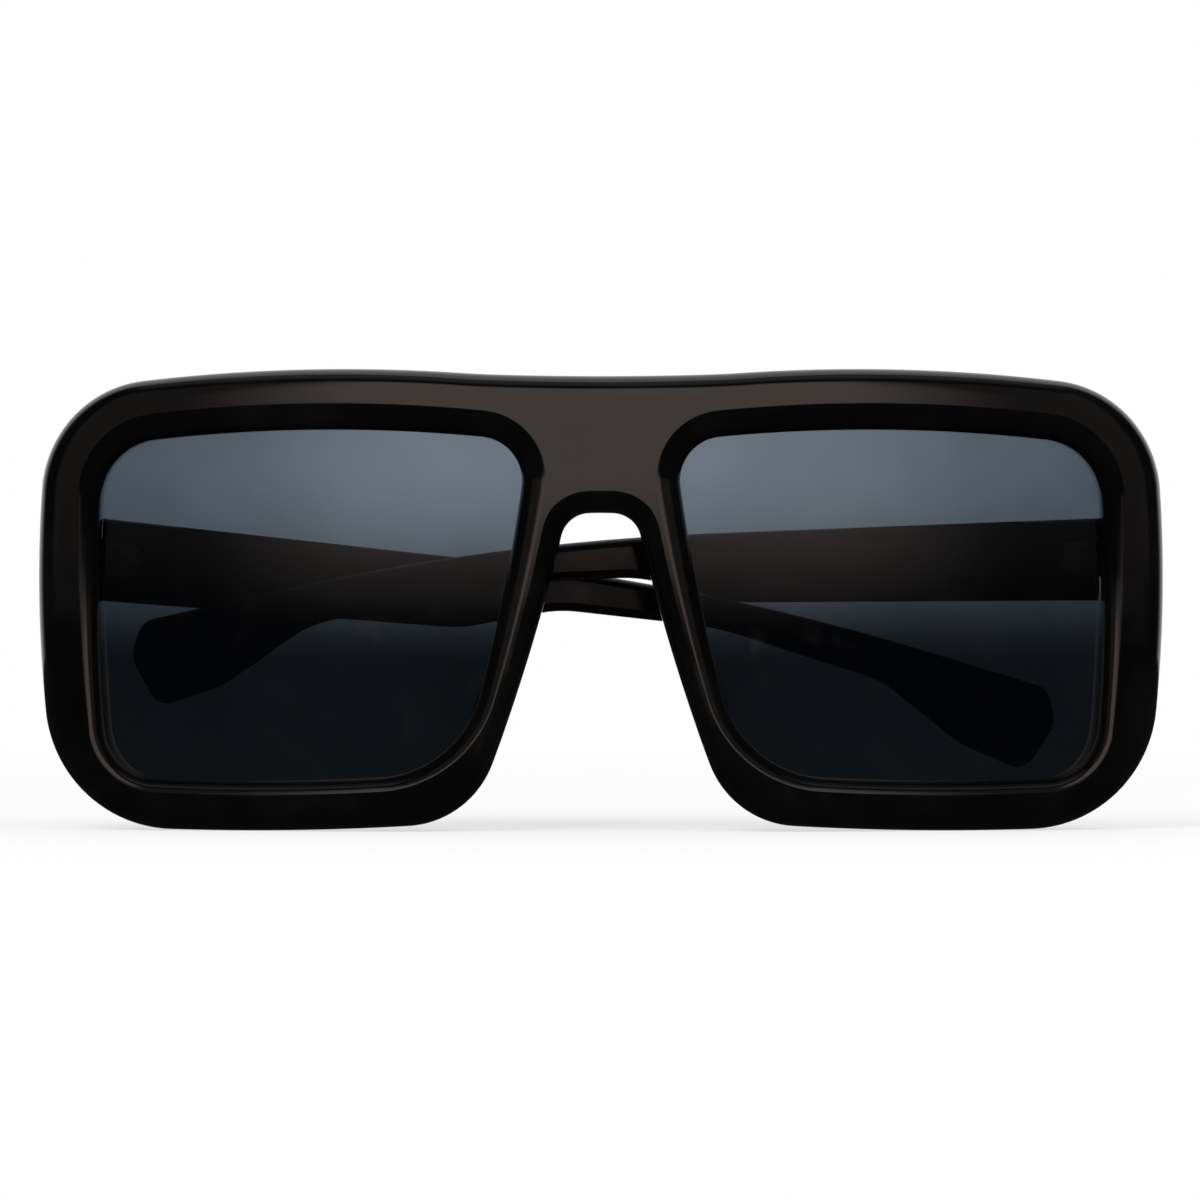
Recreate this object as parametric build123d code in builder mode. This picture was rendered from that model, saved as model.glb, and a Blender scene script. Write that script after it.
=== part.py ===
"""Oversized flat-top sunglasses: a moulded front, two lenses, two temples and two pin hinges.

They are folded, with the left temple behind the right one. Left and right are as seen from the
front. +X is to the right, +Y towards the wearer and +Z up. The origin is under the middle of the
whole, on the surface that the rims stand on. Lengths are in millimetres and angles in degrees.
"""

from build123d import *
import math
import os

# Front
front_width = 155.0
front_height = 63.0
front_thickness = 7.6
wrap_radius = 260.0
front_edge_share = 0.484
rim_edge_share = 0.371
back_edge_radius = 1.0

# Right half of the outline as arcs from the top of the bridge round to the top of the nose arch
outline_shares = {
    "bridge": (0.000, 0.984),
    "brow start": (0.220, 0.989),
    "brow": (0.560, 0.999),
    "upper corner": (0.977, 0.950),
    "side": (1.000, 0.560),
    "lower corner": (0.958, 0.012),
    "base": (0.600, 0.000),
    "nose corner": (0.231, 0.020),
    "nose side": (0.134, 0.350),
    "arch corner": (0.061, 0.684),
    "arch": (0.000, 0.688),
}
outline_radii = {
    "brow start": 150.0,
    "upper corner": 16.0,
    "lower corner": 18.0,
    "nose corner": 13.0,
    "arch corner": 4.0,
}

# Opening of the right rim as arcs from its upper corner by the nose, clockwise
opening_shares = {
    "upper nose": (0.130, 0.842),
    "top": (0.500, 0.869),
    "upper outer": (0.880, 0.835),
    "outer": (0.891, 0.540),
    "lower outer": (0.873, 0.117),
    "bottom": (0.620, 0.107),
    "lower nose": (0.253, 0.128),
    "nose side": (0.174, 0.500),
}
opening_radii = {
    "upper nose": 6.0,
    "upper outer": 8.5,
    "lower outer": 7.5,
    "lower nose": 15.0,
}

# Lenses
lens_thickness = 2.0
lens_recess = 3.6
lens_overlap = 0.9
lens_clearance = 0.06

# Nose pads, moulded on the back of the rims
pad_length = 17.0
pad_width = 4.6
pad_depth = 4.4
pad_edge_radius = 2.1
pad_spacing_share = 0.1755
pad_height = 20.5
pad_slant = 18.0

# Hinge places: both pins lean alike, so folded temples droop differently and open ones alike
hinge_inset = 7.3
hinge_setback = 23.0
pin_height = 37.2
pin_lean = 2.0

# Hinge leaves, three knuckles on each pin
knuckle_radius = 1.15
knuckle_height = 1.6
knuckle_gap = 0.05
knuckle_relief = 0.2
front_leaf_length = 5.2
temple_leaf_length = 6.2
leaf_height = 4.7
leaf_corner_radius = 1.9
leaf_sink = 0.02
leaf_clearance = 0.05
anchor_radius = 0.5
anchor_length = 1.5
anchor_spacing = 2.2

# Hinge screws
screw_radius = 0.6
screw_clearance = 0.03
screw_head_radius = 1.05
screw_head_height = 0.55
screw_tail = 0.3
screw_slot_width = 0.3
screw_slot_depth = 0.25

# Endpieces, moulded on the back of the front
endpiece_root_share = 0.5
endpiece_edge_radius = 1.2

# Temples
temple_length = 134.8
temple_height = 11.5
temple_thickness = 5.4
tip_thickness = 3.4
temple_droop = 4.25
temple_bow = 5.0
temple_straight_length = 55.0
temple_edge_radius = 1.2
temple_face_offset = 0.4
temple_end_gap = 0.7
temple_stop_gap = 0.1
hinge_drop = 5.7
left_fold = 85.8
right_fold = 91.0

# Corners of a temple's outline from the top of its hinge end, as shares of its length and height
temple_shares = {
    "hinge top": (0.000, 0.000),
    "bend": (0.630, 0.000),
    "tip top": (0.985, -0.800),
    "tip end": (0.9945, -1.220),
    "tip bottom": (0.964, -1.845),
    "heel": (0.898, -1.600),
    "ear bend": (0.815, -0.935),
    "ear start": (0.640, -0.505),
    "waist end": (0.475, -0.500),
    "waist start": (0.375, -0.850),
    "hinge bottom": (0.000, -1.000),
}
temple_radii = {
    "bend": 330.0,
    "tip top": 3.0,
    "tip end": 4.0,
    "tip bottom": 2.6,
    "heel": 14.0,
    "ear bend": 14.0,
    "ear start": 40.0,
    "waist end": 18.0,
    "waist start": 18.0,
}

# Recess and bright facet on the inner face of each temple
recess_start = 11.0
recess_end = 35.0
recess_runout = 4.0
recess_depth = 0.7
facet_height = 3.0
facet_depth = 2.2

# One length by which cuts run past what they cut
overrun = 5.0

# Sizes that follow from the ones above
half_width = front_width / 2
pivot_x = half_width - hinge_inset
pad_x = pad_spacing_share * half_width
nose_width = (opening_shares["nose side"][0] - outline_shares["nose side"][0]) * half_width
base_width = opening_shares["bottom"][1] * front_height
edge_room = min(2 * nose_width, base_width)
front_edge_radius = front_edge_share * edge_room
rim_edge_radius = rim_edge_share * edge_room
temple_outer = temple_face_offset + temple_thickness
hinge_stack = 3 * knuckle_height + 2 * knuckle_gap
knuckle_step = knuckle_height + knuckle_gap
hinge_room = knuckle_radius + knuckle_relief
hinge_room_height = hinge_stack + 2 * (screw_head_height + knuckle_relief)
leaf_face = temple_face_offset + leaf_sink
leaf_thickness = knuckle_radius - leaf_face
lens_front_radius = wrap_radius - lens_recess
lens_back_radius = lens_front_radius - lens_thickness
back_skin_radius = wrap_radius - front_thickness
stop_y = temple_end_gap - temple_stop_gap
rim_depth = wrap_radius - math.sqrt(wrap_radius**2 - pivot_x**2)
endpiece_length = hinge_setback + stop_y - rim_depth - endpiece_root_share * front_thickness
sides = {"left": -1, "right": 1}
folds = {"left": left_fold, "right": right_fold}


def front_point(share):
    """A point of the front's face from its shares of the half width and of the height."""
    return (share[0] * half_width, share[1] * front_height)


def round_corners(corners, radii):
    """Round the named corners of the sketch in use."""
    for name, radius in radii.items():
        fillet(vertices().sort_by_distance(corners[name])[0], radius)


def temple_point(y, z):
    """A point of an open temple from its distance past the hinge end and its height over the top."""
    return (temple_end_gap + y, hinge_drop + z - y * math.tan(math.radians(temple_droop)))


def hinge_place(side, fold):
    """Where a hinge frame lies: origin and +Z on the pin, +Y along a temple turned in by fold."""
    pin = Location((side * pivot_x, hinge_setback, pin_height))
    return pin * Rotation(0, pin_lean, 0) * Rotation(0, 0, side * fold)


def handed(piece, side):
    """A piece made for the right, or its mirror image for the left."""
    return piece if side > 0 else mirror(piece, about=Plane.YZ, mode=Mode.PRIVATE)


def on_side(piece, side, fold=0):
    """A piece made in the right hinge frame, turned over if it is for the left, and set in place."""
    return handed(piece, side).moved(hinge_place(side, fold))


def outline_profile():
    """The front's outline on the flat, without its rim openings."""
    at = {name: front_point(share) for name, share in outline_shares.items()}
    with BuildSketch() as profile:
        with BuildLine():
            TangentArc(at["bridge"], at["brow start"], tangent=(1, 0))
            ThreePointArc(at["brow start"], at["brow"], at["upper corner"])
            ThreePointArc(at["upper corner"], at["side"], at["lower corner"])
            ThreePointArc(at["lower corner"], at["base"], at["nose corner"])
            ThreePointArc(at["nose corner"], at["nose side"], at["arch corner"])
            TangentArc(at["arch"], at["arch corner"], tangent=(1, 0))
            Line(at["arch"], at["bridge"])
        make_face()
        round_corners(at, outline_radii)
        mirror(about=Plane.YZ)
    return profile.sketch


def opening_profile():
    """The right rim's opening on the flat."""
    at = {name: front_point(share) for name, share in opening_shares.items()}
    with BuildSketch() as profile:
        with BuildLine():
            ThreePointArc(at["upper nose"], at["top"], at["upper outer"])
            ThreePointArc(at["upper outer"], at["outer"], at["lower outer"])
            ThreePointArc(at["lower outer"], at["bottom"], at["lower nose"])
            ThreePointArc(at["lower nose"], at["nose side"], at["upper nose"])
        make_face()
        round_corners(at, opening_radii)
    return profile.sketch


def grown(profile, growth):
    """A profile of arcs that all bulge outwards, with each arc moved outwards by an amount."""
    with BuildSketch() as larger:
        with BuildLine():
            for arc in profile.edges():
                ends = [arc @ 0, arc @ 0.5, arc @ 1]
                ThreePointArc(*[end + growth * (end - arc.arc_center).normalized() for end in ends])
        make_face()
    return larger.sketch


def curved_slab(outer_radius, inner_radius):
    """Everything between two upright cylinders that share the front's wrap axis."""
    with BuildPart() as slab:
        with Locations((0, wrap_radius, front_height / 2)):
            Cylinder(outer_radius, front_height + 2 * overrun)
            Cylinder(inner_radius, front_height + 4 * overrun, mode=Mode.SUBTRACT)
    return slab.part


def lens_shape(growth, outer_radius, inner_radius):
    """The right lens, grown past the rim's opening, between two radii about the wrap axis."""
    with BuildPart() as shape:
        with BuildSketch(Plane.XZ):
            add(grown(opening_profile(), growth))
        extrude(amount=-wrap_radius / 2)
        add(curved_slab(outer_radius, inner_radius), mode=Mode.INTERSECT)
    return shape.part


def leaf_plate(length, growth=0):
    """The plate and the anchors of a hinge leaf along +Y, grown all round."""
    plate_middle = (hinge_room + length) / 2
    with BuildPart() as plate:
        with BuildSketch(Plane.YZ.offset(leaf_face - growth)):
            with Locations((plate_middle, 0)):
                Rectangle(length - hinge_room + 2 * growth, leaf_height + 2 * growth)
            fillet(vertices().group_by(Axis.X)[-1], leaf_corner_radius)
        extrude(amount=leaf_thickness + 2 * growth)
        with BuildSketch(Plane.YZ.offset(leaf_face + leaf_thickness)):
            with Locations((plate_middle, 0)):
                with GridLocations(0, anchor_spacing, 1, 2):
                    Circle(anchor_radius + growth)
        extrude(amount=anchor_length + growth)
    return plate.part


def leaf_pocket(length):
    """Room for a leaf's plate, its anchors and the arms of its knuckles."""
    with BuildPart() as pocket:
        add(leaf_plate(length, leaf_clearance))
        with BuildSketch(Plane.YZ.offset(leaf_face - leaf_clearance)):
            with Locations((hinge_room / 2, 0)):
                Rectangle(hinge_room + 2 * leaf_clearance, hinge_stack + 2 * leaf_clearance)
        extrude(amount=leaf_thickness + 2 * leaf_clearance)
    return pocket.part


def hinge_leaf(length, levels):
    """A hinge leaf along +Y: its plate and anchors, and a bored knuckle at each of its levels."""
    with BuildPart() as leaf:
        add(leaf_plate(length))
        for level in levels:
            with BuildSketch(Plane.XY.offset(level - knuckle_height / 2)):
                Circle(knuckle_radius)
                with Locations((leaf_face + leaf_thickness / 2, hinge_room / 2)):
                    Rectangle(leaf_thickness, hinge_room)
            extrude(amount=knuckle_height)
        Cylinder(screw_radius + screw_clearance, hinge_stack + overrun, mode=Mode.SUBTRACT)
    return leaf.part


# Hinge screw with a slotted head, its shank through all the knuckles
with BuildPart() as screw:
    with BuildSketch(Plane.XY.offset(-hinge_stack / 2 - screw_tail)):
        Circle(screw_radius)
    extrude(amount=hinge_stack + screw_tail)
    with BuildSketch(Plane.XY.offset(hinge_stack / 2)):
        Circle(screw_head_radius)
    extrude(amount=screw_head_height)
    with Locations((0, 0, hinge_stack / 2 + screw_head_height)):
        Box(2 * knuckle_radius, screw_slot_width, 2 * screw_slot_depth, mode=Mode.SUBTRACT)

# Room that the knuckles and the screw's head turn in
with BuildPart() as knuckle_room:
    Cylinder(hinge_room, hinge_room_height)

# Front leaf, which runs forwards from the pin, and temple leaf, which runs back
front_leaf = mirror(hinge_leaf(front_leaf_length, (-knuckle_step, knuckle_step)), about=Plane.XZ)
front_pocket = mirror(leaf_pocket(front_leaf_length), about=Plane.XZ)
temple_leaf = hinge_leaf(temple_leaf_length, (0,))
temple_pocket = leaf_pocket(temple_leaf_length)

# Endpiece: a block behind the rim whose end face is the open temple's stop
with BuildPart() as endpiece:
    with BuildSketch(Plane.XZ.offset(-stop_y)):
        with Locations((temple_face_offset + temple_thickness / 2, hinge_drop - temple_height / 2)):
            Rectangle(temple_thickness, temple_height)
    extrude(amount=endpiece_length)
    fillet(edges().filter_by(Axis.Y), endpiece_edge_radius)

# Nose pad, upright and centred, its back face rounded
with BuildPart() as nose_pad:
    with BuildSketch(Plane.XZ.offset(-front_thickness - pad_depth)):
        SlotOverall(pad_length, pad_width, rotation=90)
    extrude(amount=pad_depth + front_thickness / 2)
    fillet(faces().sort_by(Axis.Y)[-1].edges(), pad_edge_radius)

# Lens groove, the right lens with its clearance all round
groove = lens_shape(
    lens_overlap + lens_clearance, lens_front_radius + lens_clearance, lens_back_radius - lens_clearance
)

# Front: outline and wrap, rim openings, rounded edges, endpieces and pads, grooves and pockets
with BuildPart() as front_frame:
    with BuildSketch(Plane.XZ):
        add(outline_profile())
    extrude(amount=-wrap_radius / 2)
    add(curved_slab(wrap_radius, back_skin_radius), mode=Mode.INTERSECT)
    with BuildSketch(Plane.XZ):
        add(opening_profile())
        mirror(about=Plane.YZ)
    extrude(amount=-wrap_radius / 2, mode=Mode.SUBTRACT)
    front_skin = faces().filter_by(GeomType.CYLINDER).sort_by(Axis.Y)[0]
    fillet(front_skin.outer_wire().edges(), front_edge_radius)
    front_skin = faces().filter_by(GeomType.CYLINDER).sort_by(Axis.Y)[0]
    fillet([edge for wire in front_skin.inner_wires() for edge in wire.edges()], rim_edge_radius)
    back_skin = faces().filter_by(GeomType.CYLINDER).sort_by(Axis.Y)[-1]
    fillet(back_skin.edges(), back_edge_radius)
    for side in sides.values():
        add(on_side(endpiece.part, side))
        pad_place = Location((side * pad_x, 0, pad_height), (0, -side * pad_slant, 0))
        add(nose_pad.part.moved(pad_place))
    for side in sides.values():
        add(handed(groove, side), mode=Mode.SUBTRACT)
        add(on_side(knuckle_room.part, side), mode=Mode.SUBTRACT)
        add(on_side(front_pocket, side), mode=Mode.SUBTRACT)

# Temple: side outline and plan outline crossed, rounded, then the recess, facet and pocket
with BuildPart() as temple:
    with BuildSketch(Plane.YZ.offset(-temple_bow - overrun)):
        at = {
            name: temple_point(y * temple_length, z * temple_height)
            for name, (y, z) in temple_shares.items()
        }
        with BuildLine():
            Polyline(*at.values(), close=True)
        make_face()
        round_corners(at, temple_radii)
    extrude(amount=temple_bow + temple_outer + 2 * overrun)
    with BuildSketch(Plane.XY.offset(-3 * temple_height)):
        with BuildLine():
            bend_y = temple_end_gap + temple_straight_length
            tip_y = temple_end_gap + temple_length
            tip_inner = temple_face_offset - temple_bow
            inner_line = Line((temple_face_offset, temple_end_gap), (temple_face_offset, bend_y))
            inner_arc = TangentArc(inner_line @ 1, (tip_inner, tip_y), tangent=(0, 1))
            outer_line = Line((temple_outer, temple_end_gap), (temple_outer, bend_y))
            outer_arc = TangentArc(outer_line @ 1, (tip_inner + tip_thickness, tip_y), tangent=(0, 1))
            Line(inner_arc @ 1, outer_arc @ 1)
            Line(inner_line @ 0, outer_line @ 0)
        make_face()
    extrude(amount=5 * temple_height, mode=Mode.INTERSECT)
    seams = edges().filter_by(Axis.Z).group_by(Axis.Y)[-1]
    fillet(edges() - seams - edges().group_by(Axis.Y)[0], temple_edge_radius)
    with BuildSketch(Plane.YZ.offset(temple_face_offset)):
        with BuildLine():
            corners = [
                temple_point(recess_start, 0),
                temple_point(recess_end, 0),
                temple_point(recess_end - recess_runout, -temple_height),
                temple_point(recess_start, -temple_height),
            ]
            Polyline(*corners, close=True)
        make_face()
    extrude(amount=recess_depth, mode=Mode.SUBTRACT)
    facet_start = Vector(temple_face_offset, *temple_point(recess_start, 0))
    facet_end = Vector(temple_face_offset, *temple_point(recess_end, 0))
    with BuildSketch(Plane(facet_start, x_dir=(1, 0, 0), z_dir=facet_end - facet_start)):
        with BuildLine():
            high = (2 * facet_depth, -facet_height)
            low = (-facet_depth, 2 * facet_height)
            Polyline(high, low, (-facet_depth, -facet_height), close=True)
        make_face()
    extrude(amount=recess_end - recess_start, mode=Mode.SUBTRACT)
    add(knuckle_room.part, mode=Mode.SUBTRACT)
    add(temple_pocket, mode=Mode.SUBTRACT)

# Everything moves so that the origin comes under the middle of the whole
whole_depth = on_side(temple.part, sides["left"], folds["left"]).bounding_box().max.Y
centring = Location((0, -whole_depth / 2, 0))

lens = lens_shape(lens_overlap, lens_front_radius, lens_back_radius)
finished = {"front_frame": front_frame.part}
for name, side in sides.items():
    fold = folds[name]
    finished[f"{name}_lens"] = handed(lens, side)
    finished[f"{name}_front_leaf"] = on_side(front_leaf, side)
    finished[f"{name}_hinge_screw"] = on_side(screw.part, side)
    finished[f"{name}_temple"] = on_side(temple.part, side, fold)
    finished[f"{name}_temple_leaf"] = on_side(temple_leaf, side, fold)

os.makedirs("parts", exist_ok=True)
for name, shape in finished.items():
    with BuildPart() as piece:
        add(shape.moved(centring))
    piece.part.label = name
    export_step(piece.part, f"parts/{name}.step")
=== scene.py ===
"""Dress the folded flat-top sunglasses: finishes, small moulded details, studio and camera.

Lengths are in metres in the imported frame: +X to the right as seen from the front, +Y towards the
wearer and +Z up, with the origin on the floor under the middle of the whole.
"""
from __future__ import annotations

import logging
import math
from dataclasses import dataclass, field
from enum import Enum
from typing import Any, Iterable, Mapping, Sequence

import bmesh
import bpy
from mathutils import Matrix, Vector
from mathutils.geometry import delaunay_2d_cdt


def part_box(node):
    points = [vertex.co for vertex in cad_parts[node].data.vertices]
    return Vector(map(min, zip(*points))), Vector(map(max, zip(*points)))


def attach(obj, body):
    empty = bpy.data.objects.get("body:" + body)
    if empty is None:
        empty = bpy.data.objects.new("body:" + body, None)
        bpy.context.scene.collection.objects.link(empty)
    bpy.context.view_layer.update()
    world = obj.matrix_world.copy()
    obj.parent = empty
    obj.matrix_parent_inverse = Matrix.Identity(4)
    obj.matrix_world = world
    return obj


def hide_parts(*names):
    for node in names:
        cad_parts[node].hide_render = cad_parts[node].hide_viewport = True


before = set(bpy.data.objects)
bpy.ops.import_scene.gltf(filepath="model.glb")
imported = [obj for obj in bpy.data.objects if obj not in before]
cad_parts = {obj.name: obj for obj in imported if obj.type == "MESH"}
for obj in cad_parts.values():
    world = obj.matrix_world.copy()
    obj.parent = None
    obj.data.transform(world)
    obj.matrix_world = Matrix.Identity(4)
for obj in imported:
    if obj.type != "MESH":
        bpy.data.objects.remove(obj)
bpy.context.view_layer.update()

Colour = tuple[float, float, float]
Point = tuple[float, float]
# A point of an outline with its outward normal.
Spot = tuple[Point, Point]
# Where a change starts and where it ends.
Span = tuple[float, float]

MM = 0.001
WHITE: Colour = (1.0, 1.0, 1.0)
PLASTIC_IOR = 1.5
# Longest step round a curve, as a share of its radius.
CURVE_STEP = 0.10
# Which triangles the filling keeps, and how near two points count as one.
INNER_TRIANGLES = 1
SAME_SPOT = 1e-9
log = logging.getLogger("sunglasses")


class Slot(Enum):
    """Material slots of the record."""

    FRAME = "frame_plastic"
    TEMPLE = "temple_plastic"
    LENS = "lens"
    HINGE = "hinge_metal"
    SCREW = "screw_metal"


class Side(Enum):
    """Sides of the object as seen from the front."""

    LEFT = -1
    RIGHT = 1

    @property
    def word(self) -> str:
        """Lower-case name, as the CAD nodes and bodies use it."""
        return self.name.lower()


class Wire:
    """A shader value with arithmetic: each operator adds one Math node to the board it is on."""

    def __init__(self, board: "Board", socket: bpy.types.NodeSocket | None) -> None:
        """Keep the board and the output socket that this value comes from.

        Args:
            board: Board that new nodes go on.
            socket: Output socket that carries the value, if the node has one.
        """
        self.board = board
        self.socket = socket

    def _math(self, operation: str, *values: "Value") -> "Wire":
        """Add a Math node.

        Args:
            operation: Blender's name of the operation.
            values: Operands in order.

        Returns:
            The node's result.
        """
        inputs = dict(enumerate(values))
        return self.board.node("ShaderNodeMath", {"operation": operation}, inputs)

    def __add__(self, other: "Value") -> "Wire":
        """Sum of this value and another."""
        return self._math("ADD", self, other)

    __radd__ = __add__

    def __sub__(self, other: "Value") -> "Wire":
        """This value less another."""
        return self._math("SUBTRACT", self, other)

    def __rsub__(self, other: "Value") -> "Wire":
        """Another value less this one."""
        return self._math("SUBTRACT", other, self)

    def __mul__(self, other: "Value") -> "Wire":
        """Product of this value and another."""
        return self._math("MULTIPLY", self, other)

    __rmul__ = __mul__

    def __pow__(self, other: "Value") -> "Wire":
        """This value to a power."""
        return self._math("POWER", self, other)

    def __rpow__(self, other: "Value") -> "Wire":
        """Another value to the power of this one."""
        return self._math("POWER", other, self)

    def __abs__(self) -> "Wire":
        """This value without its sign."""
        return self._math("ABSOLUTE", self)

    def angle_over(self, other: "Value") -> "Wire":
        """The angle in degrees whose tangent is this value over another."""
        return self._math("ARCTAN2", self, other) * math.degrees(1.0)

    def at_most(self, other: "Value") -> "Wire":
        """The smaller of this value and another."""
        return self._math("MINIMUM", self, other)

    def ramp(self, low: float, high: float, start: float = 0.0, end: float = 1.0) -> "Wire":
        """Go smoothly from one level to another as this value goes from low to high.

        Args:
            low: Value at which the climb starts.
            high: Value at which it ends.
            start: Level before the climb.
            end: Level after it.

        Returns:
            The level.
        """
        settings = {"interpolation_type": "SMOOTHSTEP"}
        inputs = {"Value": self, 1: low, 2: high, 3: start, 4: end}
        return self.board.node("ShaderNodeMapRange", settings, inputs)


Value = Wire | float


class Board:
    """The nodes of one material or world."""

    def __init__(self, tree: bpy.types.NodeTree) -> None:
        """Start from an empty tree.

        Args:
            tree: Tree whose nodes are made anew.
        """
        self.tree = tree
        tree.nodes.clear()

    def node(
        self,
        kind: str,
        settings: Mapping[str, Any] | None = None,
        inputs: Mapping[Any, Any] | None = None,
        output: Any = 0,
    ) -> Wire:
        """Add a node, set it up and feed it.

        Args:
            kind: Blender's type name of the node.
            settings: Attributes to set first.
            inputs: Values or wires by socket name or number.
            output: Name or number of the socket to hand back.

        Returns:
            The chosen output, or an empty wire where the node has none.
        """
        made = self.tree.nodes.new(kind)
        for name, setting in (settings or {}).items():
            setattr(made, name, setting)
        for name, value in (inputs or {}).items():
            socket = made.inputs[name]
            if isinstance(value, Wire):
                self.tree.links.new(value.socket, socket)
            elif socket.type == "RGBA":
                socket.default_value = (*value, 1.0)
            else:
                socket.default_value = value
        return Wire(self, made.outputs[output] if len(made.outputs) else None)

    def place(self) -> Wire:
        """The point being shaded, in metres in its own object's frame."""
        return self.node("ShaderNodeTexCoord", output="Object")

    def split(self, vector: Wire) -> tuple[Wire, Wire, Wire]:
        """Take a vector apart.

        Args:
            vector: Vector to split.

        Returns:
            Its x, y and z.
        """
        parts = self.node("ShaderNodeSeparateXYZ", inputs={0: vector}).socket.node
        return tuple(Wire(self, socket) for socket in parts.outputs)

    def rays(self, *kinds: str) -> list[Wire]:
        """Tell which kind of ray is looking.

        Args:
            kinds: Blender's names of the kinds.

        Returns:
            For each kind, one where the ray is of that kind, else zero.
        """
        path = self.node("ShaderNodeLightPath").socket.node
        return [Wire(self, path.outputs[f"Is {kind} Ray"]) for kind in kinds]

    def noise(self, where: Wire, size: float, detail: float, roughness: float = 0.5) -> Wire:
        """Soft noise whose blobs have a real size.

        Args:
            where: Point in metres.
            size: Size of a blob in metres.
            detail: Number of finer octaves.
            roughness: How strong these are.

        Returns:
            Noise about one half.
        """
        inputs = {"Vector": where, "Scale": 1.0 / size, "Detail": detail, "Roughness": roughness}
        return self.node("ShaderNodeTexNoise", inputs=inputs)

    def mix(self, factor: Value, first: Any, second: Any) -> Wire:
        """Blend two colours.

        Args:
            factor: Share of the second one.
            first: Colour or wire at zero.
            second: Colour or wire at one.

        Returns:
            The blended colour.
        """
        inputs = {0: factor, 6: first, 7: second}
        return self.node("ShaderNodeMix", {"data_type": "RGBA"}, inputs, 2)

    def blend(self, factor: Value, first: Wire, second: Wire) -> Wire:
        """Blend two shaders.

        Args:
            factor: Share of the second one.
            first: Shader at zero.
            second: Shader at one.

        Returns:
            The blended shader.
        """
        return self.node("ShaderNodeMixShader", inputs={0: factor, 1: first, 2: second})

    def bump(self, height: Wire, distance: float, strength: float) -> Wire:
        """Turn a height into a normal.

        Args:
            height: Height in units of the distance.
            distance: Height of one unit in metres.
            strength: Share of the effect.

        Returns:
            The normal.
        """
        inputs = {"Strength": strength, "Distance": distance, "Height": height}
        return self.node("ShaderNodeBump", inputs=inputs)

    def surface(self, shader: Wire, kind: str = "ShaderNodeOutputMaterial") -> None:
        """Make a shader the tree's result.

        Args:
            shader: Shader to show.
            kind: Type of the output node.
        """
        self.node(kind, inputs={"Surface": shader})


def inside(spot: Point, loop: Sequence[Point]) -> bool:
    """Tell whether a point lies inside a closed loop.

    Args:
        spot: The point.
        loop: The loop's points in order.

    Returns:
        True if it lies inside.
    """
    within = False
    x, z = spot
    for (ax, az), (bx, bz) in zip(loop, list(loop[1:]) + [loop[0]]):
        if (az > z) != (bz > z) and x < ax + (z - az) * (bx - ax) / (bz - az):
            within = not within
    return within


def on_plate(spot: Point, loops: Sequence[Sequence[Point]]) -> bool:
    """Whether a point lies inside the first loop and outside all the others."""
    return inside(spot, loops[0]) and not any(inside(spot, hole) for hole in loops[1:])


def mirrored(loop: Sequence[Spot]) -> list[Spot]:
    """The same loop on the other side, travelled in the same sense."""
    return [((-x, z), (-nx, nz)) for (x, z), (nx, nz) in reversed(loop)]


def quarter_turn(steps: int) -> list[tuple[float, float]]:
    """Sine and cosine of each angle from zero to a right angle, in equal steps."""
    angles = [math.pi / 2 * number / steps for number in range(steps + 1)]
    return [(math.sin(angle), math.cos(angle)) for angle in angles]


def add_object(name: str, data: bpy.types.ID) -> bpy.types.Object:
    """Put a mesh, a lamp or a camera in the scene.

    Args:
        name: Name of the object.
        data: What it shows.

    Returns:
        The object.
    """
    made = bpy.data.objects.new(name, data)
    bpy.context.scene.collection.objects.link(made)
    return made


def mesh_object(name: str, shape: bmesh.types.BMesh) -> bpy.types.Object:
    """Turn a finished bmesh into an object.

    Args:
        name: Name of the object and its mesh.
        shape: The bmesh, which is freed.

    Returns:
        The object, in the scene.
    """
    mesh = bpy.data.meshes.new(name)
    shape.to_mesh(mesh)
    shape.free()
    return add_object(name, mesh)


def smooth_object(
    name: str, verts: Sequence[Vector], faces: Sequence[tuple[int, ...]], normals: Sequence[Vector]
) -> bpy.types.Object:
    """Make a mesh object with exact normals.

    Args:
        name: Name of the object and its mesh.
        verts: Vertices.
        faces: Vertex numbers of each face.
        normals: Normal at each vertex.

    Returns:
        The object, in the scene.
    """
    mesh = bpy.data.meshes.new(name)
    mesh.from_pydata(verts, [], faces)
    mesh.shade_smooth()
    mesh.normals_split_custom_set_from_vertices(normals)
    return add_object(name, mesh)


def new_material(name: str) -> tuple[bpy.types.Material, Board]:
    """Make an empty material.

    Args:
        name: Name of the material.

    Returns:
        The material and its board.
    """
    material = bpy.data.materials.new(name)
    material.use_nodes = True
    return material, Board(material.node_tree)


@dataclass(frozen=True)
class Patches:
    """Soft-edged patches made from noise.

    Attributes:
        size: Size of a patch in metres.
        low: Noise at which the level starts to change.
        high: Noise at which it has changed.
        detail: Number of finer octaves.
        roughness: How strong these are.
        low_level: Level where the noise is low.
        high_level: Level where it is high.
    """

    size: float
    low: float
    high: float
    detail: float = 2.0
    roughness: float = 0.5
    low_level: float = 0.0
    high_level: float = 1.0

    def noise(self, board: Board, where: Wire) -> Wire:
        """The plain noise at a point."""
        return board.noise(where, self.size, self.detail, self.roughness)

    def level(self, board: Board, where: Wire) -> Wire:
        """The patches' level at a point."""
        return self.noise(board, where).ramp(self.low, self.high, self.low_level, self.high_level)


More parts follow.
